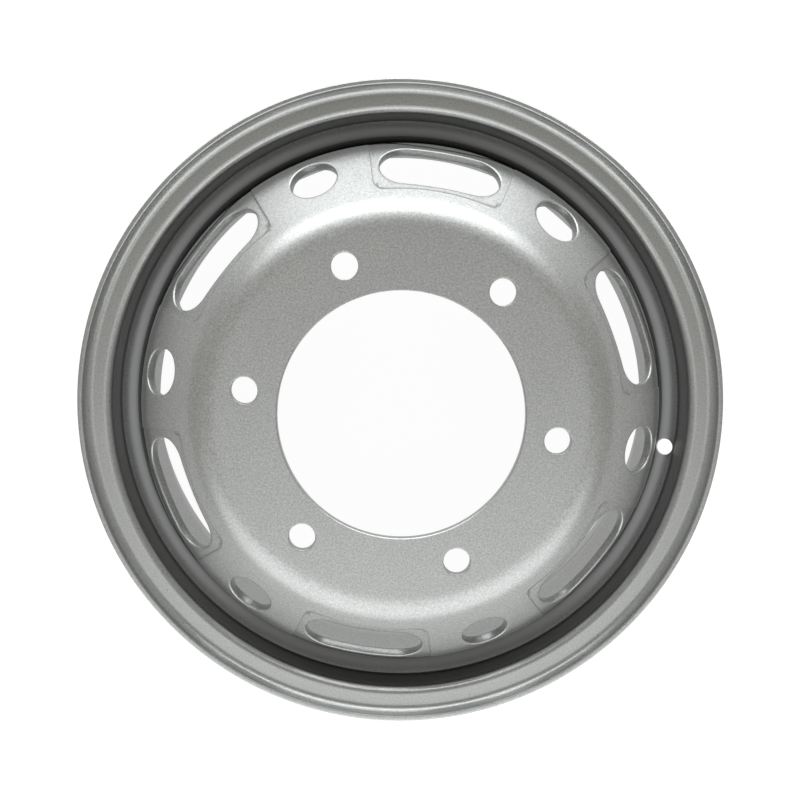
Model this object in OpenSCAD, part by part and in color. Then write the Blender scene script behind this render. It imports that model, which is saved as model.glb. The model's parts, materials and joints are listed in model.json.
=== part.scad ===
// Steel wheel for a 16 inch tyre: a rolled drop-centre rim, a pressed disc and the welds that join them.
// The wheel lies on its inner lip with its axis along +Z and the convex face of the disc up.
// Profiles are drawn as [radius, height] points, and z = 0 is the floor under the inner lip.

/* [Rim] */
// Diameter of the bead seats, measured where they would meet the flanges
seat_d = 405.6; // [380:0.1:440]
// Width between the flanges
rim_w = 139.7; // [125:0.1:180]
// Thickness of the rolled rim sheet
rim_t = 3.5; // [2.5:0.1:4]
// Height of the flanges above the bead seats
flange_h = 17.3; // [16.5:0.1:20]
// Radius of the flange's outward curl, on the tyre side
curl_r = 9.5; // [7:0.1:10]
// Straight lip beyond the curl
lip_l = 1.5; // [1.2:0.1:6]
// Rounding of the sheet's edge at the lip
lip_edge_r = 1; // [0.4:0.1:1.2]
// Bend between flange and bead seat, on the tyre side
seat_bend_r = 2; // [1:0.1:6.5]
// Width of a bead seat, from the flange to the foot of the hump
seat_w = 17; // [14:0.1:22]
// Slope of the bead seats toward the middle of the rim, in degrees
seat_taper = 5; // [3:0.5:8]
// Height of the safety humps
hump_h = 1.2; // [0.5:0.1:2]
// Length of the rise to the top of a hump
hump_l = 7; // [6.5:0.1:9]
// Bend at the foot of a hump
hump_foot_r = 8; // [4:0.5:10]
// Bend over the top of a hump, on the tyre side
hump_top_r = 5; // [4.5:0.5:7.5]
// Depth of the well below the bead seat diameter
well_depth = 17.8; // [16:0.1:22]
// Width of the well's floor
well_w = 29; // [26:1:48]
// Lean of the well's outer wall away from a flat plane across the wheel, in degrees
well_lean = 30; // [22:1:40]
// Bends at the well's floor, on the tyre side
well_bend_r = 4; // [3:0.5:8]
// Diameter of the valve hole
valve_d = 11.5; // [8:0.1:12]
// Straight stretch of the well's wall between the hump's bend and the valve hole
valve_land = 0.2; // [0.1:0.1:1]

/* [Disc] */
// Distance from the middle of the rim to the disc's hub face
inset = 112; // [100:1:120]
// Thickness of the disc at the hub
hub_t = 7; // [5:0.1:9]
// Thickness of the drawn flank and skirt
flank_t = 6.6; // [4.5:0.1:7]
// Flat face left outside the bolt circle
flat_margin = 17; // [13:0.5:20]
// Radius of the shoulder around the flat face
shoulder_r = 30; // [20:1:36]
// Slope of the flank below the flat face, in degrees
flank_angle = 43; // [38:1:46]
// Radius of the bend from the flank into the skirt
skirt_bend_r = 38; // [28:1:42]
// Length of the skirt that laps the well's floor
skirt_lap = 5; // [4:0.5:12]
// Rounding of the skirt's free inner edge
skirt_edge = 2; // [0.4:0.1:2.5]
// Radial play between the pressed-in skirt and the well
skirt_play = 0.1; // [0.05:0.05:0.3]

/* [Hub holes] */
// Diameter of the centre bore
bore_d = 161; // [130:0.5:168]
// Chamfer at both edges of the centre bore
bore_edge = 0.5; // [0.2:0.1:1]
// Diameter of the bolt circle
bolt_circle_d = 205; // [200:0.5:210]
// Diameter of the bolt holes
bolt_d = 17.5; // [13:0.1:21]

/* [Vents] */
// Number of bolt holes, of round vents and of oblong slots
spokes = 6; // [5:1:6]
// Length of the oblong slots
slot_l = 80.5; // [60:0.5:84]
// Width of the oblong slots, along the flank
slot_w = 34.5; // [26:0.5:37]
// Distance from the skirt to the middle of the oblong slots
slot_inset = 19.4; // [19:0.1:22]
// Diameter of the round vents
vent_d = 31.5; // [20:0.5:34]
// Distance from the skirt to the middle of the round vents
vent_inset = 17.9; // [17:0.1:22]
// Depth of the coined pad around each slot
pad_depth = 0.6; // [0.3:0.1:1.2]
// Width of the pad beside and below its slot
pad_margin = 5; // [3:0.5:6]
// Radius of the pad's corners
pad_corner_r = 8; // [4:0.5:12]

/* [Welds] */
// Number of weld seams between skirt and well
weld_count = 6; // [4:1:8]
// Length of each weld seam around the wheel
weld_l = 110; // [60:1:120]
// Leg of the fillet welds
weld_leg = 4.5; // [3:0.1:5]

/* [Hidden] */

$fn = 120;
paint = "#a3a5a3";
weld_paint = "#8f918f";

// Largest turn between two points of a drawn bend, in degrees
bend_step = 5;
// How far a cutter runs past the metal that it cuts
overrun = 1;
half_turn = 180;
spoke_angle = 360 / spokes;

// Rim section, outer lip at the top
seat_r = seat_d / 2;
flange_r = seat_r + flange_h;
flange_reach = lip_l + curl_r;
rim_full_w = rim_w + 2 * flange_reach;
outer_wall_z = rim_full_w - flange_reach;
hump_foot = [seat_r - seat_w * tan(seat_taper), outer_wall_z - seat_w];
hump_top = [hump_foot[0] + hump_h, hump_foot[1] - hump_l];
well_r = seat_r - well_depth;
well_top_z = hump_top[1] - (hump_top[0] - well_r) * tan(well_lean);
well_low_z = well_top_z - well_w;
// Turn of the sheet from the well's outer wall into its floor
well_turn = 90 - well_lean;
// Inside of the well, where the disc is pressed in
well_in_r = well_r - rim_t;
floor_top_z = well_top_z - well_bend_r * tan(well_turn / 2);
// Each row is [radius, height, bend radius] on the tyre side, from the outer lip to the inner one
rim_path = [
    [flange_r, rim_full_w, 0],
    [flange_r, outer_wall_z, curl_r],
    [seat_r, outer_wall_z, seat_bend_r],
    [hump_foot[0], hump_foot[1], hump_foot_r],
    [hump_top[0], hump_top[1], hump_top_r],
    [well_r, well_top_z, well_bend_r],
    [well_r, well_low_z, well_bend_r],
    [hump_top[0], rim_full_w - hump_top[1], hump_top_r],
    [hump_foot[0], rim_full_w - hump_foot[1], hump_foot_r],
    [seat_r, flange_reach, seat_bend_r],
    [flange_r, flange_reach, curl_r],
    [flange_r, 0, 0]
];
// Middle of the valve hole, on the tyre side of the well's outer wall
hump_turn = atan2(hump_h, hump_l) + well_turn;
valve_down = hump_top_r * tan(hump_turn / 2) + valve_land + valve_d / 2;
valve_at = hump_top - valve_down * [cos(well_lean), sin(well_lean)];

// Disc section, flat face at the top
face_z = rim_full_w / 2 + inset + hub_t;
hub_z = face_z - hub_t;
bore_r = bore_d / 2;
skirt_r = well_in_r - skirt_play;
skirt_in_r = skirt_r - flank_t;
skirt_end_z = floor_top_z - skirt_lap;
// Where the straight flank would meet the flat face and the skirt
face_corner_r = bolt_circle_d / 2 + flat_margin + shoulder_r * tan(flank_angle / 2);
hub_corner_r = face_corner_r + (hub_t - flank_t / cos(flank_angle)) / tan(flank_angle);
skirt_corner_z = flank_z(skirt_r);
skirt_in_corner_z = flank_z(skirt_in_r) - flank_t / cos(flank_angle);
face_path = [
    [bore_r, face_z, 0],
    [face_corner_r, face_z, shoulder_r],
    [skirt_r, skirt_corner_z, skirt_bend_r],
    [skirt_r, skirt_end_z, 0]
];
hub_path = [
    [bore_r, hub_z, 0],
    [hub_corner_r, hub_z, shoulder_r - hub_t],
    [skirt_in_r, skirt_in_corner_z, skirt_bend_r - flank_t],
    [skirt_in_r, skirt_end_z, 0]
];
slot_r = skirt_r - slot_inset;
vent_r = skirt_r - vent_inset;
// Pads start below the slots and widen toward the skirt
pad_in_r = slot_r - (slot_w / 2 + pad_margin) * cos(flank_angle);
pad_half = asin((slot_l / 2 + pad_margin) / slot_r);
pad_corner_at = pad_half - asin(pad_corner_r / (pad_in_r + pad_corner_r));

// Height of the flank's outer face at a radius
function flank_z(r) = face_z - (r - face_corner_r) * tan(flank_angle);

function unit(v) = v / norm(v);
function left_of(v) = [-v[1], v[0]];
function point(row) = [row[0], row[1]];
function reversed(list) = [for (i = [len(list) - 1 : -1 : 0]) list[i]];

// Points of an arc from one angle to another
function arc(centre, r, from, to) =
    let (steps = max(2, ceil(abs(to - from) / bend_step)))
    [for (i = [0 : steps]) let (a = from + (to - from) * i / steps) centre + r * [cos(a), sin(a)]];

// Bend of a sheet's side at the middle one of three path rows, the side lying d to the left of the path
function bend(before, at, after, d) =
    let (
        u = unit(point(at) - point(before)),
        v = unit(point(after) - point(at)),
        turn = sign(cross(u, v)),
        sweep = acos(u * v),
        centre = point(at) - u * at[2] * tan(sweep / 2) + turn * at[2] * left_of(u),
        from = atan2(-turn * left_of(u)[1], -turn * left_of(u)[0])
    )
    arc(centre, at[2] - turn * d, from, from + turn * sweep);

// One side of a bent sheet, d to the left of its path, from the path's second row to its last but one
function bends(path, d) = [for (i = [1 : len(path) - 2]) each bend(path[i - 1], path[i], path[i + 1], d)];

// Half of the rounded edge of a lip that points up or down, at the side whose radius is given
function lip_corner(r, z, from, to) = arc([r, z], lip_edge_r, from, to);

module rim_section() {
    lip_out_r = flange_r - lip_edge_r;
    lip_in_r = flange_r - rim_t + lip_edge_r;
    polygon(concat(
        lip_corner(lip_out_r, rim_full_w - lip_edge_r, 90, 0),
        bends(rim_path, 0),
        lip_corner(lip_out_r, lip_edge_r, 0, -90),
        lip_corner(lip_in_r, lip_edge_r, -90, -180),
        reversed(bends(rim_path, -rim_t)),
        lip_corner(lip_in_r, rim_full_w - lip_edge_r, 180, 90)
    ));
}

module rim() {
    color(paint)
    difference() {
        rotate_extrude() rim_section();
        translate([valve_at[0], 0, valve_at[1]])
        rotate([0, -well_lean, 0])
        cylinder(d = valve_d, h = 2 * (rim_t + overrun), center = true);
    }
}

module disc_section() {
    polygon(concat(
        [[bore_r, hub_z + bore_edge], [bore_r, face_z - bore_edge], [bore_r + bore_edge, face_z]],
        bends(face_path, 0),
        [[skirt_r, skirt_end_z]],
        arc([skirt_in_r + skirt_edge, skirt_end_z + skirt_edge], skirt_edge, -90, -180),
        reversed(bends(hub_path, 0)),
        [[bore_r + bore_edge, hub_z]]
    ));
}

// Skin of the flank and bend, down to the depth of the coined pads
module pad_skin_section() {
    polygon(concat(bends(face_path, overrun), reversed(bends(face_path, -pad_depth))));
}

// Outline of a pad seen along the axis, round at its inner corners and open toward the skirt
module pad_outline() {
    far_r = skirt_r + 2 * overrun;
    corner = pad_in_r + pad_corner_r;
    polygon(concat(
        [far_r * [cos(pad_half), sin(pad_half)]],
        arc(corner * [cos(pad_corner_at), sin(pad_corner_at)], pad_corner_r,
            pad_half + 90, pad_corner_at + half_turn),
        arc([0, 0], pad_in_r, pad_corner_at, -pad_corner_at),
        arc(corner * [cos(pad_corner_at), -sin(pad_corner_at)], pad_corner_r,
            -pad_corner_at - half_turn, -pad_half - 90),
        [far_r * [cos(pad_half), -sin(pad_half)]]
    ));
}

module pad() {
    skin_half = spoke_angle / 2;
    intersection() {
        rotate(-skin_half) rotate_extrude(angle = 2 * skin_half) pad_skin_section();
        translate([0, 0, skirt_end_z]) linear_extrude(face_z - skirt_end_z) pad_outline();
    }
}

// Places a punch square to the flank at a radius, with its length across the radius
module on_flank(r) {
    translate([r, 0, flank_z(r)]) rotate([0, flank_angle, 0]) children();
}

module slot_punch() {
    straight = slot_l - slot_w;
    linear_extrude(slot_w, center = true) {
        square([slot_w, straight], center = true);
        for (end = [-1, 1]) translate([0, end * straight / 2]) circle(d = slot_w);
    }
}

module disc() {
    color(paint)
    difference() {
        rotate_extrude() disc_section();
        for (i = [0 : spokes - 1]) rotate(i * spoke_angle) {
            translate([bolt_circle_d / 2, 0, hub_z - overrun]) cylinder(d = bolt_d, h = hub_t + 2 * overrun);
            on_flank(vent_r) cylinder(d = vent_d, h = vent_d, center = true);
            rotate(spoke_angle / 2) {
                on_flank(slot_r) slot_punch();
                pad();
            }
        }
    }
}

// Fillet between the skirt's end and the well, with a slightly crowned face
module weld_section() {
    crown_centre = [well_in_r + weld_leg, skirt_end_z + weld_leg];
    crown_r = norm([weld_leg, 2 * weld_leg]);
    toe_angle = asin(weld_leg / crown_r);
    polygon(concat(
        [[well_in_r, skirt_end_z]],
        arc(crown_centre, crown_r, toe_angle - half_turn, -90 - toe_angle)
    ));
}

module weld_seams() {
    weld_angle = weld_l / well_in_r * half_turn / PI;
    color(weld_paint)
    for (i = [0 : weld_count - 1])
    rotate(i * 360 / weld_count - weld_angle / 2)
    rotate_extrude(angle = weld_angle) weld_section();
}

rim();
disc();
weld_seams();
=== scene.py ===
"""Dresses a packed steel wheel: smooth pressed and rolled sheet, silver paint and a plain studio."""

import json
import math

import bmesh
import bpy
from bpy.props import FloatProperty, FloatVectorProperty, IntProperty, PointerProperty
from mathutils import Matrix, Vector
from mathutils.bvhtree import BVHTree


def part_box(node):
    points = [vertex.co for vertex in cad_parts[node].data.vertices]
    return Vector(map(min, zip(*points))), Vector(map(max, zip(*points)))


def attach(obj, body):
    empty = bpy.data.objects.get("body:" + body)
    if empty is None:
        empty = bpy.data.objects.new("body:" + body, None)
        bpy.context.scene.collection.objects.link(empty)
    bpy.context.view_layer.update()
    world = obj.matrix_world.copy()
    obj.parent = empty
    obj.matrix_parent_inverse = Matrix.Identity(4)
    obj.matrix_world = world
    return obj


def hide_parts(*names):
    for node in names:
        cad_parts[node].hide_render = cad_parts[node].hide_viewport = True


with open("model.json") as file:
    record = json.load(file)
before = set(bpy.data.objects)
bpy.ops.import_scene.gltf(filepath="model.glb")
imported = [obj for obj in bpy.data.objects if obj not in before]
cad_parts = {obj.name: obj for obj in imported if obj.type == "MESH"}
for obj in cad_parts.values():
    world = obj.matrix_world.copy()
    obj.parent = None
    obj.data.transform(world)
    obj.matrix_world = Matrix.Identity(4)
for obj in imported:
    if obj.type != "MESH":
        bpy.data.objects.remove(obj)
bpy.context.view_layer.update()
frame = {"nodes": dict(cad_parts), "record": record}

bl_info = {
    "name": "Steel wheel rim",
    "version": (1, 0, 0),
    "blender": (4, 5, 0),
    "location": "3D View > Sidebar > Wheel",
    "description": "Models the rim, the pressed disc and the weld seams of a steel wheel",
    "category": "Object",
}

MOUNTS = {mount["name"]: mount for mount in frame["record"]["mounts"]}
FINISHES = {entry["slot"]: entry["base_color"] for entry in frame["record"]["materials"]}
MILLIMETRE = 0.001
BODY = "root"
SPOKES = MOUNTS["wheel_bolts"]["dims"]["count"]
SPOKE_ANGLE = math.tau / SPOKES
FACE_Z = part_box("disc")[1].z

# Distances below which vertices are one: in general, along an outline and between repeated sixths
MERGE = 1e-6
OUTLINE_MERGE = 2e-5
SIXTH_MERGE = 1e-5
# Distance within which a cut takes a vertex as on its plane
ON_PLANE = 1e-7
# Angle up to which an outline counts as straight
STRAIGHT_ANGLE = math.radians(0.8)
# Angle up to which two faces are shaded as one surface
SMOOTH_ANGLE = math.radians(38)
# Flat steps around a round punch and around each corner of an oblong one
ROUND_STEPS = 72
CORNER_STEPS = 20
# Share of an oblong punch's half width that its corners take up, so that two corners never meet
CORNER_SHARE = 0.9995
# Width of the floor and how far it lies below the wheel, so that the two never share a plane
FLOOR_SIZE = 8.0
FLOOR_DROP = 0.0005
# Place of the camera from the middle of the wheel's face, and its tilt as a turn about an axis
CAMERA_PLACE = (-0.00582778, 0.0762366, 0.654990)
CAMERA_TILT = Vector((-0.10028, -0.00746, 0.0))


def length(name, description, default):
    """A property that holds a length in metres."""
    return FloatProperty(
        name=name, description=description, default=default, min=0.0, unit="LENGTH", precision=4)


def angle(name, description, degrees):
    """A property that holds an angle."""
    return FloatProperty(
        name=name, description=description, default=math.radians(degrees), unit="ROTATION")


def colour(name, description, default):
    """A property that holds a colour."""
    return FloatVectorProperty(
        name=name, description=description, default=default, subtype="COLOR", min=0.0, max=1.0)


def factor(name, description, default, high=1.0):
    """A property that holds a plain share or strength."""
    return FloatProperty(
        name=name, description=description, default=default, min=0.0, max=high, subtype="FACTOR")


def power(name, description, default):
    """A property that holds a lamp's power in watts."""
    return FloatProperty(name=name, description=description, default=default, min=0.0, unit="POWER")


class WheelRim(bpy.types.PropertyGroup):
    """Sizes of the rolled rim."""

    steps: IntProperty(name="Steps", description="Flat steps around the rim", default=240, min=24)
    valve_diameter: length("Valve hole", "Diameter of the valve hole",
                           2 * MILLIMETRE * MOUNTS["valve_hole"]["dims"]["r_mm"])
    valve_edge: length("Valve hole edge", "Rounding of the valve hole's edges", 0.0005)
    grain: factor("Grain", "Strength of the flake's grain", 0.7, 2.0)
    # The heights and shares below place painted shade and painted light: near-black painted shade on the
    # inward faces low in the gap to the disc and on the band behind the bead seat, none below the lowest
    # height, and a lighter painted silver on the sloping ledge where light falls.
    shade_floor: length("Spray floor", "Height below which the rim is sprayed from its other side", 0.110)
    full_shade: length("Bare height", "Height up to which no silver reaches the rim", 0.1202)
    shade_end: length("Covered height", "Height from which the silver covers the rim", 0.1240)
    seat_shade: factor("Seat primer", "How far the primer shows behind the bead seat", 0.58)
    seat_bottom: length("Seat bottom", "Height from which the primer shows behind the bead seat", 0.1295)
    seat_top: length("Seat top", "Height up to which the primer shows behind the bead seat", 0.1485)
    ledge_light: factor("Ledge coat", "How far the silver is thicker on the sloping ledge below the seat", 0.9)
    ledge_bottom: length("Ledge bottom", "Height at which the ledge starts", 0.1225)
    ledge_top: length("Ledge top", "Height at which the ledge ends", 0.1275)


class WheelDisc(bpy.types.PropertyGroup):
    """Sizes of the pressed disc."""

    steps: IntProperty(name="Steps", description="Flat steps around a sixth", default=72, min=12)
    cell: length("Cell", "Longest mesh cell along the section", 0.0045)
    sector_start: angle("Sector start", "Where the repeated sixth starts, clear of every hole", -9.7)
    flank_angle: angle("Flank slope", "Slope of the flank below the flat face", 43.0)
    flank_corner: length("Flank corner", "Radius where the flank's line meets the flat face", 0.131317)
    skirt_radius: length("Skirt radius", "Outer radius of the skirt", 0.1814)
    skirt_bend: length("Skirt bend", "Radius of the bend from the flank into the skirt", 0.038)
    bolt_circle: length("Bolt circle", "Diameter of the bolt circle",
                        MILLIMETRE * MOUNTS["wheel_bolts"]["dims"]["pcd_mm"])
    bolt_diameter: length("Bolt holes", "Diameter of the bolt holes",
                          2 * MILLIMETRE * MOUNTS["wheel_bolts"]["dims"]["hole_r_mm"])
    bolt_edge: length("Bolt hole edge", "Rounding of the bolt holes' edges", 0.0005)
    vent_diameter: length("Round vents", "Diameter of the round vents", 0.0315)
    vent_radius: length("Vent circle", "Radius at which the round vents lie", 0.1635)
    vent_edge: length("Vent edge", "Rounding of the punched edges of the round vents", 0.0011)
    slot_length: length("Slot length", "Length of the oblong slots", 0.0805)
    slot_width: length("Slot width", "Width of the oblong slots", 0.0345)
    slot_radius: length("Slot circle", "Radius at which the oblong slots lie", 0.162)
    slot_edge: length("Slot edge", "Rounding of the punched edges of the slots", 0.0012)
    pad_depth: length("Pad depth", "Depth of the coined pad around each slot", 0.0006)
    pad_radius: length("Pad inner radius", "Radius at which the pads start", 0.145727)
    pad_half: angle("Pad half angle", "Half of the angle that a pad takes up", 16.2197)
    pad_corner: length("Pad corner", "Radius of the pads' corners", 0.008)
    pad_edge: length("Pad edge", "Rounding of the pads' step", 0.00035)
    grain: factor("Grain", "Strength of the flake's grain", 1.1, 2.0)
    # The two heights below place painted shade: near-black on the skirt's outward faces low in the gap to the
    # rim, fading out between them.
    full_shade: length("Bare height", "Height up to which no silver reaches the skirt", 0.1435)
    shade_end: length("Covered height", "Height from which the silver covers the skirt", 0.1505)


class WheelWeld(bpy.types.PropertyGroup):
    """Sizes of the weld seams."""

    seams: IntProperty(name="Seams", description="Number of weld seams", default=6, min=1)
    seam_length: length("Seam length", "Length of each seam around the wheel", 0.110)
    seam_radius: length("Seam radius", "Radius at which the seam's length is measured", 0.1815)
    ripple: length("Ripple", "Distance from one ripple of the bead to the next", 0.0026)
    ripple_height: length("Ripple height", "Height of the ripples", 0.0004)
    cell: length("Cell", "Longest mesh cell along the section", 0.0012)
    grain: factor("Grain", "Strength of the flake's grain", 0.8, 2.0)


class WheelPaint(bpy.types.PropertyGroup):
    """Colours of the paint."""

    rim: colour("Rim", "Paint on the rim", FINISHES["rim_paint"])
    disc: colour("Disc", "Paint on the disc", FINISHES["disc_paint"])
    weld: colour("Welds", "Paint over the weld seams", FINISHES["weld_paint"])
    # Near-black painted shade for the gaps, and a lighter painted silver that stands in for light falling on
    # the rim's ledge.
    painted_shade: colour("Primer", "Dark primer where the silver coat is missing", (0.012, 0.012, 0.011))
    painted_light: colour("Thick coat", "Silver where the paint has pooled", (0.60, 0.61, 0.61))
    rim_roughness: factor("Rim roughness", "Roughness of the paint on the rolled rim", 0.3)
    disc_roughness: factor("Disc roughness", "Roughness of the paint on the disc and the welds", 0.4)
    flake: factor("Flake", "Share of metal flake in the paint", 0.82)
    gloss: factor("Gloss", "Weight of the clear gloss", 0.2)
    gloss_roughness: factor("Gloss roughness", "Roughness of the clear gloss", 0.25)


class WheelStage(bpy.types.PropertyGroup):
    """Camera, floor and light."""

    focal_length: FloatProperty(
        name="Focal length", description="Focal length of the camera", default=46.09, unit="CAMERA")
    wheel_turn: angle("Wheel turn", "Turn of the wheel about its axis as the camera sees it", 9.28)
    floor: colour("Floor", "Colour of the floor", (0.9, 0.9, 0.9))
    floor_roughness: factor("Floor roughness", "Roughness of the floor", 0.9)
    white: factor("White", "Brightness that the floor adds for the camera", 1.08, 4.0)
    white_share: factor("White share", "Share of that brightness in the floor that the camera sees", 0.88)
    sheet_glow: factor("Sheet glow", "Share of that brightness that the metal mirrors", 0.55)
    sheet_radius: length("Sheet radius", "How far out the metal mirrors the bright floor", 0.25)
    ambient: factor("Ambient", "Strength of the even light from all around", 0.34, 10.0)
    ambient_mirror: factor("Ambient mirror", "Share of white surroundings that the metal mirrors", 0.045)
    ambient_colour: colour("Ambient colour", "Colour of the even light", (1.0, 0.955, 0.885))
    lamp_colour: colour("Lamp colour", "Colour of the lamps", (0.955, 0.975, 1.0))
    lamp_distance: length("Lamp distance", "Distance of the lamps from the wheel's face", 2.2)
    far_lamp: power("Far lamp", "Power of the lamp at the far side", 68.0)
    far_angle: angle("Far lamp angle", "How far the far lamp stands above the wheel's face", 22.0)
    far_width: length("Far lamp width", "Width of the far lamp's screen", 3.4)
    far_height: length("Far lamp height", "Height of the far lamp's screen", 1.6)
    near_lamp: power("Near lamp", "Power of the lamp at the near side", 62.0)
    near_angle: angle("Near lamp angle", "How far the near lamp stands above the wheel's face", 32.0)
    near_width: length("Near lamp width", "Width of the near lamp's screen", 5.0)
    near_height: length("Near lamp height", "Height of the near lamp's screen", 2.3)
    high_lamp: power("High lamp", "Power of the high lamp at the near side", 3.4)
    high_angle: angle("High lamp angle", "How far the high lamp stands above the wheel's face", 74.0)
    high_width: length("High lamp width", "Width of the high lamp's screen", 1.6)
    high_height: length("High lamp height", "Height of the high lamp's screen", 0.8)


def only(obj):
    """Makes one object the only selected and the active one, in object mode."""
    if bpy.context.object and bpy.context.object.mode == "EDIT":
        bpy.ops.object.mode_set(mode="OBJECT")
    bpy.ops.object.select_all(action="DESELECT")
    obj.select_set(True)
    bpy.context.view_layer.objects.active = obj


def edit(obj):
    """Opens one object in edit mode with all of its mesh selected."""
    only(obj)
    bpy.ops.object.mode_set(mode="EDIT")
    bpy.ops.mesh.select_all(action="SELECT")


def close():
    """Leaves edit mode."""
    bpy.ops.object.mode_set(mode="OBJECT")


def pick(obj, kind, test):
    """Selects, in edit mode, the vertices, edges or faces that pass a test and nothing else."""
    bpy.ops.mesh.select_mode(type={"verts": "VERT", "edges": "EDGE", "faces": "FACE"}[kind])
    bpy.ops.mesh.select_all(action="DESELECT")
    mesh = bmesh.from_edit_mesh(obj.data)
    found = 0
    for element in getattr(mesh, kind):
        if test(element):
            element.select_set(True)
            found += 1
    mesh.select_flush_mode()
    bmesh.update_edit_mesh(obj.data)
    return found


def section(node, at, name):
    """The outline of a CAD node where a half plane through the axis cuts it."""
    obj = bpy.data.objects.new(name, frame["nodes"][node].data.copy())
    bpy.context.scene.collection.objects.link(obj)
    obj.data.materials.clear()
    only(obj)
    bpy.ops.mesh.customdata_custom_splitnormals_clear()
    edit(obj)
    bpy.ops.mesh.remove_doubles(threshold=MERGE)
    out = Vector((math.cos(at), math.sin(at), 0))
    across = Vector((-math.sin(at), math.cos(at), 0))
    bpy.ops.mesh.bisect(plane_co=(0, 0, 0), plane_no=out, clear_inner=True, threshold=ON_PLANE)
    bpy.ops.mesh.select_all(action="SELECT")
    bpy.ops.mesh.bisect(
        plane_co=(0, 0, 0), plane_no=across, clear_inner=True, clear_outer=True, threshold=ON_PLANE)
    bpy.ops.mesh.select_all(action="SELECT")
    bpy.ops.mesh.remove_doubles(threshold=OUTLINE_MERGE)
    bpy.ops.mesh.dissolve_limited(angle_limit=STRAIGHT_ANGLE)
    close()
    return obj


def refine(obj, longest):
    """Halves the edges of an outline until none is longer than a given length."""
    edit(obj)
    while pick(obj, "edges", lambda e: e.calc_length() > longest):
        bpy.ops.mesh.subdivide(number_cuts=1)
    close()


def spin(obj, sweep, steps):
    """Sweeps an outline about the wheel's axis and closes what is left open."""
    edit(obj)
    bpy.ops.mesh.spin(steps=steps, angle=sweep, center=(0, 0, 0), axis=(0, 0, -1))
    bpy.ops.mesh.select_all(action="SELECT")
    bpy.ops.mesh.remove_doubles(threshold=MERGE)
    bpy.ops.mesh.fill_holes(sides=0)
    bpy.ops.mesh.select_all(action="SELECT")
    bpy.ops.mesh.normals_make_consistent(inside=False)
    close()


def ring_of(points, name):
    """A closed outline through points, from a circle with as many corners."""
    bpy.ops.object.select_all(action="DESELECT")
    bpy.ops.mesh.primitive_circle_add(vertices=len(points), radius=1.0)
    obj = bpy.context.object
    obj.name = name
    obj.data.vertices.foreach_set("co", [value for point in points for value in point])
    return obj


def arc(centre, radius, start, end, steps):
    """Points of an arc in a plane."""
    turn = [start + (end - start) * i / steps for i in range(steps + 1)]
    return [(centre[0] + radius * math.cos(a), centre[1] + radius * math.sin(a)) for a in turn]


def settle(obj):
    """Lists a cut mesh in an order that only its shape decides, so that every run goes on alike."""
    mesh = obj.data
    points = [vert.co.copy() for vert in mesh.vertices]
    order = sorted(range(len(points)), key=lambda index: tuple(points[index]))
    place = {index: number for number, index in enumerate(order)}
    faces = []
    for face in mesh.polygons:
        corners = [place[index] for index in face.vertices]
        first = corners.index(min(corners))
        faces.append(corners[first:] + corners[:first])
    mesh.clear_geometry()
    mesh.from_pydata([points[index] for index in order], [], sorted(faces))


def cut(obj, cutter, operation="DIFFERENCE"):
    """Cuts an object with another one, which is then removed."""
    only(obj)
    modifier = obj.modifiers.new("cut", "BOOLEAN")
    modifier.operation = operation
    modifier.solver = "EXACT"
    modifier.object = cutter
    bpy.ops.object.modifier_apply(modifier=modifier.name)
    bpy.data.objects.remove(cutter)
    settle(obj)


def punch(name, straight, width, depth, place):
    """A punch: a block with round ends, or a cylinder where it has no straight part."""
    bpy.ops.object.select_all(action="DESELECT")
    if straight:
        bpy.ops.mesh.primitive_cube_add(size=1.0)
        obj = bpy.context.object
        edit(obj)
        bpy.ops.transform.resize(value=(width, straight + width, depth))
        pick(obj, "edges", lambda e: abs(e.verts[0].co.z - e.verts[1].co.z) > depth / 2)
        bpy.ops.mesh.bevel(offset=width / 2 * CORNER_SHARE, segments=CORNER_STEPS, affect="EDGES")
        close()
    else:
        bpy.ops.mesh.primitive_cylinder_add(vertices=ROUND_STEPS, radius=width / 2, depth=depth)
        obj = bpy.context.object
    obj.name = name
    obj.matrix_world = place
    return obj


def skin_of(obj):
    """The surface of an object, to find the nearest point on it later."""
    mesh = bmesh.new()
    mesh.from_mesh(obj.data)
    tree = BVHTree.FromBMesh(mesh)
    mesh.free()
    return tree


def punch_side(place, straight, width):
    """Distance of a point from a punch's side and the direction away from it, as a function."""
    back = place.inverted()
    turn = place.to_3x3()

    def away(point):
        local = back @ point
        if abs(local.z) > width / 2:
            return math.inf, Vector()
        out = Vector((local.x, local.y - max(-straight / 2, min(straight / 2, local.y)), 0))
        return max(out.length - width / 2, 0.0), turn @ out.normalized()

    return away


def round_edges(obj, skin, away, edge, segments):
    """Rounds the edges of a cut wall, once the mesh beside it has made room on the uncut skin."""
    reach = 3.0 * edge
    room = 1.7 * edge

    def on_wall(face):
        if any(abs(away(v.co)[0]) > edge / 4 for v in face.verts):
            return False
        return abs(face.normal.dot(away(face.calc_center_median())[1])) > 0.5

    def select_edges():
        mesh = bmesh.from_edit_mesh(obj.data)
        mesh.verts.index_update()
        mesh.faces.index_update()
        wall = {face.index for face in mesh.faces if on_wall(face)}
        if not pick(obj, "edges", lambda e: len([f for f in e.link_faces if f.index in wall]) == 1):
            raise RuntimeError("no edge to round was found on " + obj.name)
        return {v.index for v in mesh.verts if v.select}

    edit(obj)
    select_edges()
    bpy.ops.mesh.remove_doubles(threshold=edge / 4)
    corners = select_edges()
    mesh = bmesh.from_edit_mesh(obj.data)
    for vert in mesh.verts:
        distance, direction = away(vert.co)
        if vert.index not in corners and abs(distance) < reach:
            wanted = math.copysign(room + abs(distance) * (reach - room) / reach, distance)
            vert.co = skin.find_nearest(vert.co + direction * (wanted - distance))[0]
    bmesh.update_edit_mesh(obj.data)
    select_edges()
    bpy.ops.mesh.bevel(
        offset=edge, segments=segments, affect="EDGES", loop_slide=False, clamp_overlap=False)
    close()


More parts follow.
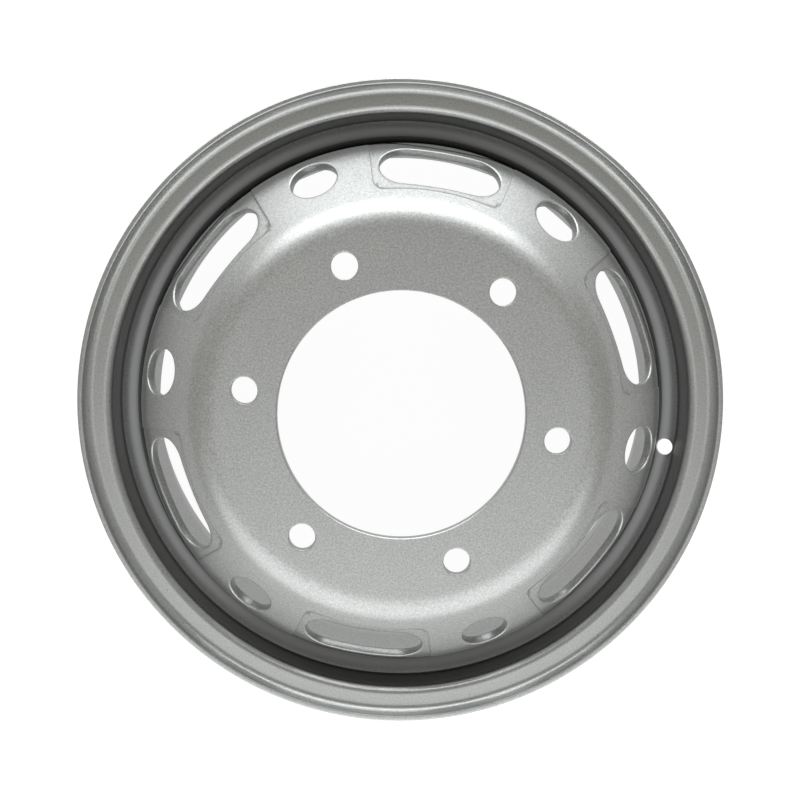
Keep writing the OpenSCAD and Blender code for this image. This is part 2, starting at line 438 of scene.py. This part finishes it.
def finish_piece(obj, node, material):
    """Smooths a piece, paints it and puts it in the place of its CAD node."""
    only(obj)
    bpy.ops.object.shade_smooth_by_angle(angle=SMOOTH_ANGLE)
    obj.data.materials.clear()
    obj.data.materials.append(material)
    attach(obj, BODY)
    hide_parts(node)


def group_socket(tree, name, kind, way, default=None):
    """Adds a socket to a node group."""
    socket = tree.interface.new_socket(name=name, in_out=way, socket_type=kind)
    if default is not None:
        socket.default_value = default
    return socket


def add(tree, kind, **values):
    """Adds a node and sets its properties and input defaults."""
    node = tree.nodes.new(kind)
    for key, value in values.items():
        if hasattr(node, key):
            setattr(node, key, value)
        else:
            node.inputs[key.replace("_", " ")].default_value = value
    return node


def paint_grain():
    """Node group: the fine grain of flake in sprayed silver paint."""
    tree = bpy.data.node_groups.get("paint_grain")
    if tree:
        return tree
    tree = bpy.data.node_groups.new("paint_grain", "ShaderNodeTree")
    group_socket(tree, "Paint", "NodeSocketColor", "INPUT", (0.4, 0.4, 0.4, 1.0))
    group_socket(tree, "Grain", "NodeSocketFloat", "INPUT", 0.12)
    group_socket(tree, "Roughness", "NodeSocketFloat", "INPUT", 0.4)
    group_socket(tree, "Color", "NodeSocketColor", "OUTPUT")
    group_socket(tree, "Roughness", "NodeSocketFloat", "OUTPUT")
    group_socket(tree, "Normal", "NodeSocketVector", "OUTPUT")
    link = tree.links.new
    start = add(tree, "NodeGroupInput")
    end = add(tree, "NodeGroupOutput")
    place = add(tree, "ShaderNodeTexCoord")
    flake = add(tree, "ShaderNodeTexNoise", Scale=850.0, Detail=2.0, Roughness=0.6)
    cloud = add(tree, "ShaderNodeTexNoise", Scale=22.0, Detail=3.0, Roughness=0.55)
    for texture in (flake, cloud):
        link(place.outputs["Object"], texture.inputs["Vector"])
    flake_swing = add(tree, "ShaderNodeMath", operation="SUBTRACT")
    flake_swing.inputs[1].default_value = 0.5
    link(flake.outputs["Fac"], flake_swing.inputs[0])
    flake_share = add(tree, "ShaderNodeMath", operation="MULTIPLY_ADD")
    flake_share.inputs[2].default_value = 1.0
    link(flake_swing.outputs[0], flake_share.inputs[0])
    link(start.outputs["Grain"], flake_share.inputs[1])
    cloud_share = add(tree, "ShaderNodeMapRange")
    cloud_share.inputs["To Min"].default_value = 0.95
    cloud_share.inputs["To Max"].default_value = 1.05
    link(cloud.outputs["Fac"], cloud_share.inputs["Value"])
    shade = add(tree, "ShaderNodeMath", operation="MULTIPLY")
    link(flake_share.outputs[0], shade.inputs[0])
    link(cloud_share.outputs["Result"], shade.inputs[1])
    tint = add(tree, "ShaderNodeMix", data_type="RGBA", blend_type="MULTIPLY")
    tint.inputs["Factor"].default_value = 1.0
    link(start.outputs["Paint"], tint.inputs["A"])
    link(shade.outputs[0], tint.inputs["B"])
    link(tint.outputs["Result"], end.inputs["Color"])
    rough = add(tree, "ShaderNodeMath", operation="MULTIPLY_ADD")
    rough.inputs[1].default_value = 0.12
    link(flake_swing.outputs[0], rough.inputs[0])
    link(start.outputs["Roughness"], rough.inputs[2])
    link(rough.outputs[0], end.inputs["Roughness"])
    bump = add(tree, "ShaderNodeBump", Strength=0.25, Distance=0.00012)
    link(flake.outputs["Fac"], bump.inputs["Height"])
    link(bump.outputs["Normal"], end.inputs["Normal"])
    return tree


def thin_coat():
    """Node group: a mask for painted shade or painted light by height, on faces turned to the axis or away
    from it.
    """
    tree = bpy.data.node_groups.get("thin_coat")
    if tree:
        return tree
    tree = bpy.data.node_groups.new("thin_coat", "ShaderNodeTree")
    defaults = {"Turned": 1.0, "Floor": 0.0, "Deep": 0.0, "Clear": 1.0,
                "Band": 0.0, "Band Bottom": 0.0, "Band Top": 1.0}
    for name, default in defaults.items():
        group_socket(tree, name, "NodeSocketFloat", "INPUT", default)
    group_socket(tree, "Mask", "NodeSocketFloat", "OUTPUT")
    link = tree.links.new
    start = add(tree, "NodeGroupInput")
    end = add(tree, "NodeGroupOutput")
    place = add(tree, "ShaderNodeTexCoord")
    across = add(tree, "ShaderNodeVectorMath", operation="MULTIPLY")
    across.inputs[1].default_value = (1.0, 1.0, 0.0)
    link(place.outputs["Object"], across.inputs[0])
    outward = add(tree, "ShaderNodeVectorMath", operation="NORMALIZE")
    link(across.outputs["Vector"], outward.inputs[0])
    lean = add(tree, "ShaderNodeVectorMath", operation="DOT_PRODUCT")
    link(outward.outputs["Vector"], lean.inputs[0])
    link(place.outputs["Normal"], lean.inputs[1])
    turned = add(tree, "ShaderNodeMath", operation="MULTIPLY")
    link(lean.outputs["Value"], turned.inputs[0])
    link(start.outputs["Turned"], turned.inputs[1])
    facing = add(tree, "ShaderNodeMath", operation="GREATER_THAN")
    facing.inputs[1].default_value = 0.05
    link(turned.outputs[0], facing.inputs[0])
    height = add(tree, "ShaderNodeSeparateXYZ")
    link(place.outputs["Object"], height.inputs[0])
    gap = add(tree, "ShaderNodeMapRange", interpolation_type="SMOOTHSTEP")
    gap.inputs["To Min"].default_value = 1.0
    gap.inputs["To Max"].default_value = 0.0
    link(height.outputs["Z"], gap.inputs["Value"])
    link(start.outputs["Deep"], gap.inputs["From Min"])
    link(start.outputs["Clear"], gap.inputs["From Max"])
    above = add(tree, "ShaderNodeMath", operation="GREATER_THAN")
    link(height.outputs["Z"], above.inputs[0])
    link(start.outputs["Floor"], above.inputs[1])
    soft_edge = add(tree, "ShaderNodeMath", operation="SUBTRACT")
    soft_edge.inputs[1].default_value = 3 * MILLIMETRE
    link(start.outputs["Band Top"], soft_edge.inputs[0])
    below_top = add(tree, "ShaderNodeMapRange", interpolation_type="SMOOTHSTEP")
    below_top.inputs["To Max"].default_value = 0.0
    link(height.outputs["Z"], below_top.inputs["Value"])
    link(soft_edge.outputs[0], below_top.inputs["From Min"])
    link(start.outputs["Band Top"], below_top.inputs["From Max"])
    link(start.outputs["Band"], below_top.inputs["To Min"])
    above_bottom = add(tree, "ShaderNodeMath", operation="GREATER_THAN")
    link(height.outputs["Z"], above_bottom.inputs[0])
    link(start.outputs["Band Bottom"], above_bottom.inputs[1])
    band = add(tree, "ShaderNodeMath", operation="MULTIPLY")
    link(below_top.outputs["Result"], band.inputs[0])
    link(above_bottom.outputs[0], band.inputs[1])
    deeper = add(tree, "ShaderNodeMath", operation="MAXIMUM")
    link(gap.outputs["Result"], deeper.inputs[0])
    link(band.outputs[0], deeper.inputs[1])
    kept = add(tree, "ShaderNodeMath", operation="MULTIPLY")
    link(deeper.outputs[0], kept.inputs[0])
    link(above.outputs[0], kept.inputs[1])
    mask = add(tree, "ShaderNodeMath", operation="MULTIPLY")
    link(kept.outputs[0], mask.inputs[0])
    link(facing.outputs[0], mask.inputs[1])
    link(mask.outputs[0], end.inputs["Mask"])
    return tree


def paint_material(name, paint, roughness, grain, shade_band=None, painted_light=None):
    """Sprayed silver paint with flake, near-black painted shade where a mask says shade falls and a lighter,
    dull painted silver where light falls.
    """
    sizes = bpy.context.scene.wheel_paint
    material = bpy.data.materials.new(name)
    material.use_nodes = True
    tree = material.node_tree
    link = tree.links.new
    shader = tree.nodes["Principled BSDF"]
    film = add(tree, "ShaderNodeGroup", node_tree=paint_grain())
    film.inputs["Paint"].default_value = (*paint, 1.0)
    film.inputs["Grain"].default_value = grain
    film.inputs["Roughness"].default_value = roughness
    link(film.outputs["Roughness"], shader.inputs["Roughness"])
    link(film.outputs["Normal"], shader.inputs["Normal"])
    shader.inputs["Coat Weight"].default_value = sizes.gloss
    shader.inputs["Coat Roughness"].default_value = sizes.gloss_roughness
    if not shade_band:
        link(film.outputs["Color"], shader.inputs["Base Color"])
        shader.inputs["Metallic"].default_value = sizes.flake
        return material
    # Painted shade: near-black mixed into the paint, without flake, where the mask says shade falls.
    in_shade = add(tree, "ShaderNodeGroup", node_tree=thin_coat())
    for key, value in shade_band.items():
        in_shade.inputs[key].default_value = value
    coat = add(tree, "ShaderNodeMix", data_type="RGBA")
    coat.inputs["B"].default_value = (*sizes.painted_shade, 1.0)
    link(in_shade.outputs["Mask"], coat.inputs["Factor"])
    link(film.outputs["Color"], coat.inputs["A"])
    link(coat.outputs["Result"], shader.inputs["Base Color"])
    flake = add(tree, "ShaderNodeMapRange")
    flake.inputs["To Min"].default_value = sizes.flake
    flake.inputs["To Max"].default_value = 0.0
    link(in_shade.outputs["Mask"], flake.inputs["Value"])
    link(flake.outputs["Result"], shader.inputs["Metallic"])
    # Painted light: a lighter silver without flake on the band where light falls.
    if painted_light:
        brightened = add(tree, "ShaderNodeGroup", node_tree=thin_coat())
        for key, value in painted_light.items():
            brightened.inputs[key].default_value = value
        lighter = add(tree, "ShaderNodeMix", data_type="RGBA")
        lighter.inputs["B"].default_value = (*sizes.painted_light, 1.0)
        link(brightened.outputs["Mask"], lighter.inputs["Factor"])
        link(film.outputs["Color"], lighter.inputs["A"])
        link(lighter.outputs["Result"], coat.inputs["A"])
        dull = add(tree, "ShaderNodeMath", operation="MAXIMUM")
        link(in_shade.outputs["Mask"], dull.inputs[0])
        link(brightened.outputs["Mask"], dull.inputs[1])
        link(dull.outputs[0], flake.inputs["Value"])
    return material


def background_share(tree, seen_share, mirror_share):
    """How far a ray meets plain white: seen or through glass by one share, mirrored by another."""
    path = add(tree, "ShaderNodeLightPath")
    direct = add(tree, "ShaderNodeMath", operation="MAXIMUM")
    seen = add(tree, "ShaderNodeMath", operation="MULTIPLY")
    mirrored = add(tree, "ShaderNodeMath", operation="MULTIPLY")
    share = add(tree, "ShaderNodeMath", operation="MAXIMUM")
    seen.inputs[1].default_value = seen_share
    mirrored.inputs[1].default_value = mirror_share
    link = tree.links.new
    link(path.outputs["Is Camera Ray"], direct.inputs[0])
    link(path.outputs["Is Transmission Ray"], direct.inputs[1])
    link(direct.outputs[0], seen.inputs[0])
    link(path.outputs["Is Glossy Ray"], mirrored.inputs[0])
    link(seen.outputs[0], share.inputs[0])
    link(mirrored.outputs[0], share.inputs[1])
    return share.outputs[0], mirrored.inputs[1]


class WHEEL_OT_rim(bpy.types.Operator):
    """Spin the rolled rim from the section of its solid and pierce the valve hole"""

    bl_idname = "wheel.rim"
    bl_label = "Rolled rim"

    def execute(self, context):
        sizes = context.scene.wheel_rim
        rim = section("rim", math.pi, "rolled_rim")
        spin(rim, math.tau, sizes.steps)
        valve = MOUNTS["valve_hole"]
        axis = Vector(valve["axis"])
        place = Matrix.Translation(valve["pos_m"]) @ axis.to_track_quat("Z", "Y").to_matrix().to_4x4()
        depth = 4 * MILLIMETRE * valve["dims"]["length_mm"]
        skin = skin_of(rim)
        cut(rim, punch("valve_punch", 0, sizes.valve_diameter, depth, place))
        round_edges(rim, skin, punch_side(place, 0, sizes.valve_diameter), sizes.valve_edge, 3)
        # Painted shade low in the gap to the disc and behind the bead seat, and painted light on the sloping
        # ledge below the seat.
        shade_band = {"Turned": -1.0, "Floor": sizes.shade_floor,
                "Deep": sizes.full_shade, "Clear": sizes.shade_end,
                "Band": sizes.seat_shade, "Band Bottom": sizes.seat_bottom, "Band Top": sizes.seat_top}
        painted_light = {"Turned": -1.0, "Clear": MILLIMETRE,
                 "Band": sizes.ledge_light, "Band Bottom": sizes.ledge_bottom, "Band Top": sizes.ledge_top}
        paint = context.scene.wheel_paint
        material = paint_material("rim_paint", paint.rim, paint.rim_roughness, sizes.grain, shade_band, painted_light)
        finish_piece(rim, "rim", material)
        return {"FINISHED"}


class WHEEL_OT_disc(bpy.types.Operator):
    """Spin a sixth of the disc, coin and punch it, and repeat it around the axis"""

    bl_idname = "wheel.disc"
    bl_label = "Pressed disc"

    def flank_place(self, sizes, radius, turn):
        """Where a punch stands square to the flank."""
        height = FACE_Z - (radius - sizes.flank_corner) * math.tan(sizes.flank_angle)
        return (Matrix.Rotation(turn, 4, "Z") @ Matrix.Translation((radius, 0, height))
                @ Matrix.Rotation(sizes.flank_angle, 4, "Y"))

    def pad_side(self, sizes, turn):
        """Distance of a point from a pad's outline and the direction away from it, as a function."""
        back = Matrix.Rotation(-turn, 3, "Z")
        half = sizes.pad_half
        corner = sizes.pad_corner

        def distance(point):
            local = back @ point
            inner = sizes.pad_radius - math.hypot(local.x, local.y) + corner
            side = abs(local.y) * math.cos(half) - local.x * math.sin(half) + corner
            return min(max(inner, side), 0) + math.hypot(max(inner, 0), max(side, 0)) - corner

        def away(point):
            radius = math.hypot(point.x, point.y)
            if radius < sizes.pad_radius - corner or point.z < FACE_Z / 2:
                return math.inf, Vector()
            step = 0.1 * MILLIMETRE
            across = [distance(point + step * axis) - distance(point - step * axis)
                      for axis in (Vector((1, 0, 0)), Vector((0, 1, 0)))]
            return distance(point), Vector((*across, 0)).normalized()

        return away

    def pad_tool(self, sizes, turn):
        """The coining tool: a skin over flank and bend, cut to the pad's outline."""
        over = MILLIMETRE
        side_steps = 6
        bend_steps = 10
        sweep_steps = 43
        corner_steps = 8
        inner_steps = 24
        lean = math.pi / 2 - sizes.flank_angle
        bend_r = sizes.skirt_radius - sizes.skirt_bend
        corner_z = FACE_Z - (sizes.skirt_radius - sizes.flank_corner) * math.tan(sizes.flank_angle)
        bend_z = corner_z - sizes.skirt_bend * math.tan(lean / 2)
        start_r = sizes.pad_radius - sizes.pad_corner / 4
        down = math.tan(sizes.flank_angle)

        def side(offset):
            points = arc((bend_r, bend_z), sizes.skirt_bend + offset, lean, 0, bend_steps)
            step = offset / math.cos(sizes.flank_angle)
            first = (start_r, FACE_Z - (start_r - sizes.flank_corner) * down + step)
            run = (points[0][0] - first[0], points[0][1] - first[1])
            shares = [i / side_steps for i in range(side_steps)]
            straight = [(first[0] + run[0] * share, first[1] + run[1] * share) for share in shares]
            return straight + points

        outline = side(over) + side(-sizes.pad_depth)[::-1]
        skin = ring_of([(r, 0, z) for r, z in outline], "pad_skin")
        half = sizes.pad_half + math.radians(1.0)
        skin.data.transform(Matrix.Rotation(turn - half, 4, "Z"))
        spin(skin, 2 * half, sweep_steps)
        far = sizes.skirt_radius + 3 * over
        middle = sizes.pad_radius + sizes.pad_corner
        inner = sizes.pad_half - math.asin(sizes.pad_corner / middle)
        corner = (middle * math.cos(inner), middle * math.sin(inner))
        upper = ([(far * math.cos(sizes.pad_half), far * math.sin(sizes.pad_half))]
                 + arc(corner, sizes.pad_corner, sizes.pad_half + math.pi / 2, inner + math.pi, corner_steps))
        rest = arc((0, 0), sizes.pad_radius, inner, -inner, inner_steps)[1:-1]
        lower = [(x, -y) for x, y in upper[::-1]]
        prism = ring_of([(x, y, 0) for x, y in upper + rest + lower], "pad_prism")
        edit(prism)
        bpy.ops.mesh.edge_face_add()
        bpy.ops.mesh.extrude_region_move(TRANSFORM_OT_translate={"value": (0, 0, 2 * FACE_Z)})
        bpy.ops.mesh.select_all(action="SELECT")
        bpy.ops.mesh.normals_make_consistent(inside=False)
        close()
        prism.matrix_world = Matrix.Rotation(turn, 4, "Z")
        cut(skin, prism, "INTERSECT")
        return skin

    def execute(self, context):
        sizes = context.scene.wheel_disc
        disc = section("disc", sizes.sector_start, "pressed_disc")
        refine(disc, sizes.cell)
        spin(disc, SPOKE_ANGLE, sizes.steps)
        turn = SPOKE_ANGLE / 2
        straight = sizes.slot_length - sizes.slot_width
        cut(disc, self.pad_tool(sizes, turn))
        round_edges(disc, skin_of(disc), self.pad_side(sizes, turn), sizes.pad_edge, 2)
        slot_place = self.flank_place(sizes, sizes.slot_radius, turn)
        vent_place = self.flank_place(sizes, sizes.vent_radius, 0)
        bolt_place = Matrix.Translation((sizes.bolt_circle / 2, 0, FACE_Z))
        holes = [
            ("slot_punch", straight, sizes.slot_width, sizes.slot_edge, slot_place),
            ("vent_punch", 0, sizes.vent_diameter, sizes.vent_edge, vent_place),
            ("bolt_punch", 0, sizes.bolt_diameter, sizes.bolt_edge, bolt_place),
        ]
        skin = skin_of(disc)
        for name, run, width, _, place in holes:
            cut(disc, punch(name, run, width, sizes.slot_width, place))
        for _, run, width, edge, place in holes:
            round_edges(disc, skin, punch_side(place, run, width), edge, 3)
        self.repeat(disc, sizes)
        # Painted shade low on the skirt, where the gap to the rim is in shade.
        shade_band = {"Turned": 1.0, "Deep": sizes.full_shade, "Clear": sizes.shade_end}
        paint = context.scene.wheel_paint
        material = paint_material("disc_paint", paint.disc, paint.disc_roughness, sizes.grain, shade_band)
        finish_piece(disc, "disc", material)
        return {"FINISHED"}

    def repeat(self, disc, sizes):
        """Opens the two ends of the sixth and copies it around the axis."""
        turns = (sizes.sector_start, sizes.sector_start + SPOKE_ANGLE)
        ends = [Vector((-math.sin(turn), math.cos(turn), 0)) for turn in turns]

        def on_end(face):
            return any(all(abs(vert.co.dot(end)) < MERGE for vert in face.verts) for end in ends)

        edit(disc)
        pick(disc, "faces", on_end)
        bpy.ops.mesh.delete(type="ONLY_FACE")
        bpy.ops.mesh.select_mode(type="VERT")
        bpy.ops.mesh.select_all(action="SELECT")
        for _ in range(SPOKES - 1):
            bpy.ops.mesh.duplicate()
            bpy.ops.transform.rotate(value=SPOKE_ANGLE, orient_axis="Z", center_override=(0, 0, 0))
        bpy.ops.mesh.select_all(action="SELECT")
        bpy.ops.mesh.remove_doubles(threshold=SIXTH_MERGE)
        bpy.ops.mesh.normals_make_consistent(inside=False)
        close()


class WHEEL_OT_weld_seams(bpy.types.Operator):
    """Spin one weld seam, ripple its bead and copy it around the axis"""

    bl_idname = "wheel.weld_seams"
    bl_label = "Weld seams"

    def execute(self, context):
        sizes = context.scene.wheel_weld
        seam = section("weld_seams", 0.0, "weld_beads")
        refine(seam, sizes.cell)
        sweep = sizes.seam_length / sizes.seam_radius
        rings = 4 * round(sizes.seam_length / sizes.ripple)
        seam.data.transform(Matrix.Rotation(-sweep / 2, 4, "Z"))
        spin(seam, sweep, rings)
        root_r = max(math.hypot(v.co.x, v.co.y) for v in seam.data.vertices)
        root_z = max(v.co.z for v in seam.data.vertices)
        edit(seam)

        def ring_index(vert):
            return round((math.atan2(vert.co.y, vert.co.x) + sweep / 2) / sweep * rings)

        def on_crown(vert):
            radius = math.hypot(vert.co.x, vert.co.y)
            return radius < root_r - MILLIMETRE and vert.co.z < root_z - MILLIMETRE

        for phase, share in ((0, 1.0), (2, -1.0)):
            pick(seam, "verts", lambda v: ring_index(v) % 4 == phase and on_crown(v))
            bpy.ops.transform.shrink_fatten(value=share * sizes.ripple_height)
        bpy.ops.mesh.select_all(action="SELECT")
        pitch = math.tau / sizes.seams
        for _ in range(sizes.seams - 1):
            bpy.ops.mesh.duplicate()
            bpy.ops.transform.rotate(value=pitch, orient_axis="Z", center_override=(0, 0, 0))
        bpy.ops.mesh.select_all(action="SELECT")
        bpy.ops.mesh.normals_make_consistent(inside=False)
        close()
        paint = context.scene.wheel_paint
        material = paint_material("weld_paint", paint.weld, paint.disc_roughness, sizes.grain)
        finish_piece(seam, "weld_seams", material)
        return {"FINISHED"}


class WHEEL_OT_stage(bpy.types.Operator):
    """Set up the floor, the light and the camera"""

    bl_idname = "wheel.stage"
    bl_label = "Stage"

    def surroundings(self, sizes):
        """Even light from all around, which the camera sees as white."""
        world = bpy.data.worlds.new("studio")
        world.use_nodes = True
        tree = world.node_tree
        even = tree.nodes["Background"]
        even.inputs["Color"].default_value = (*sizes.ambient_colour, 1.0)
        even.inputs["Strength"].default_value = sizes.ambient
        white = add(tree, "ShaderNodeBackground", Color=(1.0, 1.0, 1.0, 1.0))
        share, _ = background_share(tree, 1.0, sizes.ambient_mirror)
        mix = add(tree, "ShaderNodeMixShader")
        tree.links.new(share, mix.inputs["Fac"])
        tree.links.new(even.outputs["Background"], mix.inputs[1])
        tree.links.new(white.outputs["Background"], mix.inputs[2])
        tree.links.new(mix.outputs["Shader"], tree.nodes["World Output"].inputs["Surface"])
        bpy.context.scene.world = world

    def floor(self, sizes):
        """A pale floor that the camera sees as white, with the wheel's shadow on it."""
        bpy.ops.object.select_all(action="DESELECT")
        bpy.ops.mesh.primitive_plane_add(size=FLOOR_SIZE, location=(0, 0, -FLOOR_DROP))
        floor = bpy.context.object
        floor.name = "floor"
        material = bpy.data.materials.new("pale_floor")
        material.use_nodes = True
        tree = material.node_tree
        shader = tree.nodes["Principled BSDF"]
        shader.inputs["Base Color"].default_value = (*sizes.floor, 1.0)
        shader.inputs["Roughness"].default_value = sizes.floor_roughness
        glow = add(tree, "ShaderNodeEmission", Strength=sizes.white)
        share, mirror = background_share(tree, sizes.white_share, sizes.sheet_glow)
        place = add(tree, "ShaderNodeTexCoord")
        reach = add(tree, "ShaderNodeVectorMath", operation="LENGTH")
        near = add(tree, "ShaderNodeMapRange", interpolation_type="SMOOTHSTEP")
        near.inputs["From Min"].default_value = sizes.sheet_radius
        near.inputs["From Max"].default_value = 2 * sizes.sheet_radius
        near.inputs["To Min"].default_value = sizes.sheet_glow
        near.inputs["To Max"].default_value = 0.0
        mix = add(tree, "ShaderNodeMixShader")
        link = tree.links.new
        link(place.outputs["Object"], reach.inputs[0])
        link(reach.outputs["Value"], near.inputs["Value"])
        link(near.outputs["Result"], mirror)
        link(share, mix.inputs["Fac"])
        link(shader.outputs["BSDF"], mix.inputs[1])
        link(glow.outputs["Emission"], mix.inputs[2])
        link(mix.outputs["Shader"], tree.nodes["Material Output"].inputs["Surface"])
        floor.data.materials.append(material)

    def lamp(self, sizes, name, side):
        """A soft lamp at the far side (1) or the near side (-1) that faces the wheel."""
        height = getattr(sizes, name + "_angle")
        data = bpy.data.lights.new(name + "_lamp", "AREA")
        data.shape = "RECTANGLE"
        data.size = getattr(sizes, name + "_width")
        data.size_y = getattr(sizes, name + "_height")
        data.energy = getattr(sizes, name + "_lamp")
        data.color = sizes.lamp_colour
        lamp = bpy.data.objects.new(name + "_lamp", data)
        bpy.context.scene.collection.objects.link(lamp)
        way = Vector((0, side * math.cos(height), math.sin(height)))
        way.rotate(Matrix.Rotation(sizes.wheel_turn, 3, "Z"))
        lamp.location = Vector((0, 0, FACE_Z)) + sizes.lamp_distance * way
        lamp.rotation_euler = (-way).to_track_quat("-Z", "Y").to_euler()
        lamp.visible_camera = False

    def camera(self, sizes):
        """The camera at the photograph's angle."""
        data = bpy.data.cameras.new("camera")
        data.sensor_width = 36.0
        data.lens = sizes.focal_length
        camera = bpy.data.objects.new("camera", data)
        bpy.context.scene.collection.objects.link(camera)
        camera.matrix_world = (
            Matrix.Translation((0, 0, FACE_Z)) @ Matrix.Rotation(sizes.wheel_turn, 4, "Z")
            @ Matrix.Translation(CAMERA_PLACE)
            @ Matrix.Rotation(CAMERA_TILT.length, 4, CAMERA_TILT.normalized()))
        bpy.context.scene.camera = camera

    def execute(self, context):
        sizes = context.scene.wheel_stage
        scene = context.scene
        scene.view_settings.view_transform = "Standard"
        self.surroundings(sizes)
        self.floor(sizes)
        self.lamp(sizes, "far", 1)
        self.lamp(sizes, "near", -1)
        self.lamp(sizes, "high", -1)
        self.camera(sizes)
        return {"FINISHED"}


class WHEEL_PT_panel(bpy.types.Panel):
    """Sizes, colours and steps of the wheel"""

    bl_idname = "WHEEL_PT_panel"
    bl_label = "Steel wheel rim"
    bl_space_type = "VIEW_3D"
    bl_region_type = "UI"
    bl_category = "Wheel"

    def draw(self, context):
        for name, label, _ in GROUPS:
            box = self.layout.box()
            box.label(text=label)
            group = getattr(context.scene, name)
            for key in group.__annotations__:
                box.prop(group, key)
        for operator in OPERATORS:
            self.layout.operator(operator.bl_idname)


GROUPS = (
    ("wheel_rim", "Rim", WheelRim),
    ("wheel_disc", "Disc", WheelDisc),
    ("wheel_weld", "Welds", WheelWeld),
    ("wheel_paint", "Paint", WheelPaint),
    ("wheel_stage", "Stage", WheelStage),
)
OPERATORS = (WHEEL_OT_rim, WHEEL_OT_disc, WHEEL_OT_weld_seams, WHEEL_OT_stage)


def register():
    for name, _, group in GROUPS:
        bpy.utils.register_class(group)
        setattr(bpy.types.Scene, name, PointerProperty(type=group))
    for operator in OPERATORS:
        bpy.utils.register_class(operator)
    bpy.utils.register_class(WHEEL_PT_panel)


def unregister():
    bpy.utils.unregister_class(WHEEL_PT_panel)
    for operator in OPERATORS:
        bpy.utils.unregister_class(operator)
    for name, _, group in GROUPS:
        delattr(bpy.types.Scene, name)
        bpy.utils.unregister_class(group)


def main():
    """Builds the wheel and its stage."""
    register()
    bpy.ops.wheel.rim()
    bpy.ops.wheel.disc()
    bpy.ops.wheel.weld_seams()
    bpy.ops.wheel.stage()


if __name__ == "__main__":
    main()
